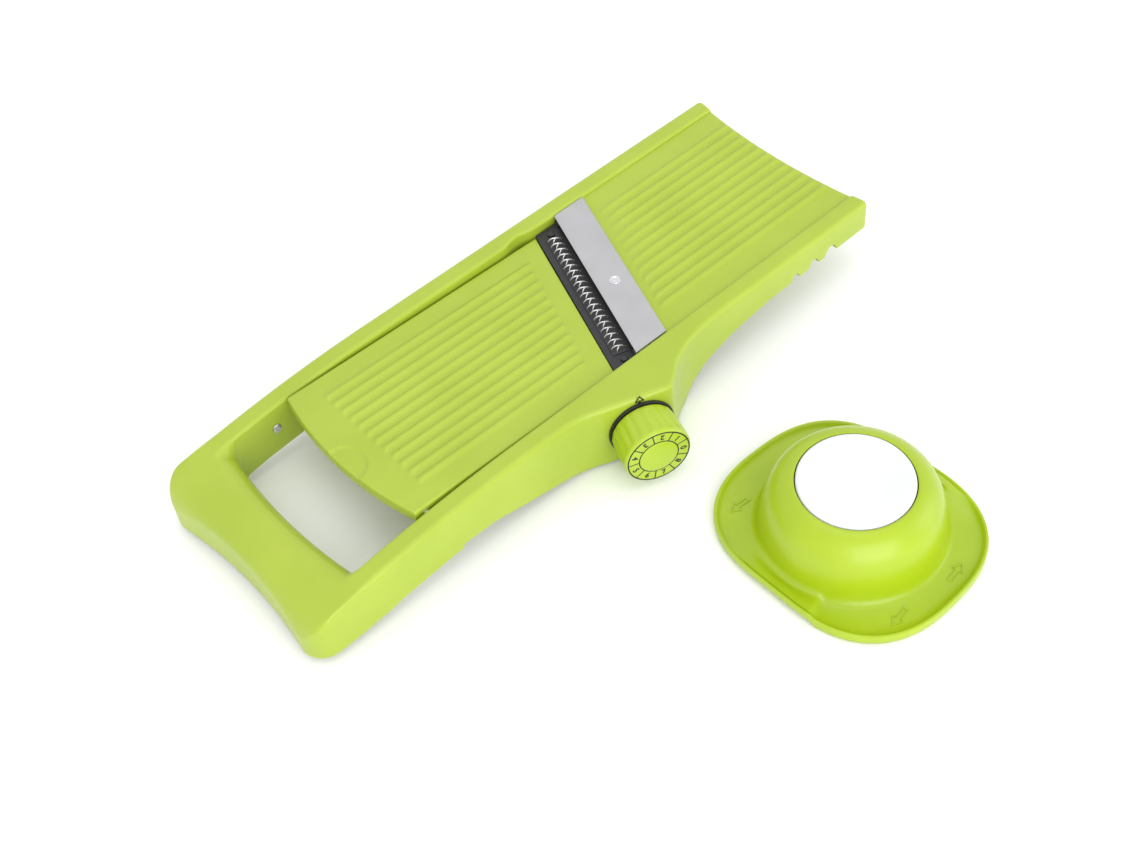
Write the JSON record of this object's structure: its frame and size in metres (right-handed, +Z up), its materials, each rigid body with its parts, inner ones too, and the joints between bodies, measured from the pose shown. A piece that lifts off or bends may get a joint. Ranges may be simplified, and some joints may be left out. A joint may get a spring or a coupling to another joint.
{
  "type": "mandoline slicer",
  "caption": "Mandoline slicer with tilting ribbed ramp, skewed steel blade and julienne comb set by a side dial, open handle, and separate domed hand guard with sprung food pusher.",
  "frame": {"origin": "middle of the footprint of the slicer and its guard together, on the table top", "axes": "+X along the slicer from the handle to the far end of the deck, +Y from the guard's side to the slicer's far rail, +Z up from the table"},
  "size_m": [0.365, 0.298, 0.0408],
  "materials": {
    "lime_plastic": "satin moulded",
    "black_plastic": "satin moulded",
    "white_plastic": "polished",
    "steel": "brushed",
    "rubber": "soft matt"
  },
  "bodies": {
    "frame": {"frame": "lime_plastic", "blade": "steel", "blade_rivet": "steel", "bush_near": "black_plastic", "bush_far": "black_plastic", "index_plate": "black_plastic", "detent_spring": "steel", "housing_cover": "lime_plastic", "cover_screw_front": "steel", "cover_screw_rear": "steel", "foot_handle_near": "rubber", "foot_handle_far": "rubber", "foot_housing": "rubber", "foot_rail_far": "rubber", "ramp_pin_near": "steel", "ramp_pin_far": "steel", "wall_rivet_near": "steel", "wall_rivet_far": "steel"},
    "dial": {"knob": "lime_plastic", "dial_scale_ring": "lime_plastic", "knob_centre_cap": "lime_plastic", "knob_screw": "steel", "camshaft": "steel", "detent_wheel": "black_plastic", "shaft_clip": "steel", "ramp_cam_near": "black_plastic", "ramp_cam_far": "black_plastic", "comb_cam_near": "black_plastic", "comb_cam_far": "black_plastic"},
    "ramp": {"ramp": "lime_plastic"},
    "comb": {"comb_carrier": "black_plastic", "julienne_teeth": "steel", "comb_screw_near": "steel", "comb_screw_far": "steel"},
    "guard": {"guard_shell": "lime_plastic", "spring_seat": "lime_plastic", "plunger_spring": "steel"},
    "plunger": {"plunger_cap": "white_plastic", "plunger_stem": "white_plastic", "spike_plate": "steel", "stem_screw": "steel"}
  },
  "joints": [
    {"name": "dial_turn", "type": "hinge", "parent": "frame", "child": "dial", "pos_m": [0.0332, 0.0875, 0.0205], "axis": [0.3469, 0.9379, 0], "range_deg": [-60, 240]},
    {"name": "ramp_tilt", "type": "hinge", "parent": "frame", "child": "ramp", "pos_m": [-0.1055, 0.0875, 0.0352], "axis": [0, -1, 0], "range_deg": [-0.36, 1.38]},
    {"name": "comb_tilt", "type": "hinge", "parent": "frame", "child": "comb", "pos_m": [0.04446, 0.08334, 0.0353], "axis": [0.3469, 0.9379, 0], "range_deg": [-8.2, 2.2]},
    {"name": "guard_lift", "type": "slide", "parent": "frame", "child": "guard", "axis": [0, 0, 1], "range_m": [0, 0.06]},
    {"name": "plunger_rise", "type": "slide", "parent": "guard", "child": "plunger", "axis": [0, 0, 1], "range_m": [0, 0.01], "stiffness_N_per_m": 300, "springref_m": -0.01, "deforming": ["plunger_spring"]}
  ],
  "couplings": [
    {"joint": "ramp_tilt", "follows": "dial_turn", "ratio": 0.0056335},
    {"joint": "comb_tilt", "follows": "dial_turn", "ratio": -0.033333}
  ]
}
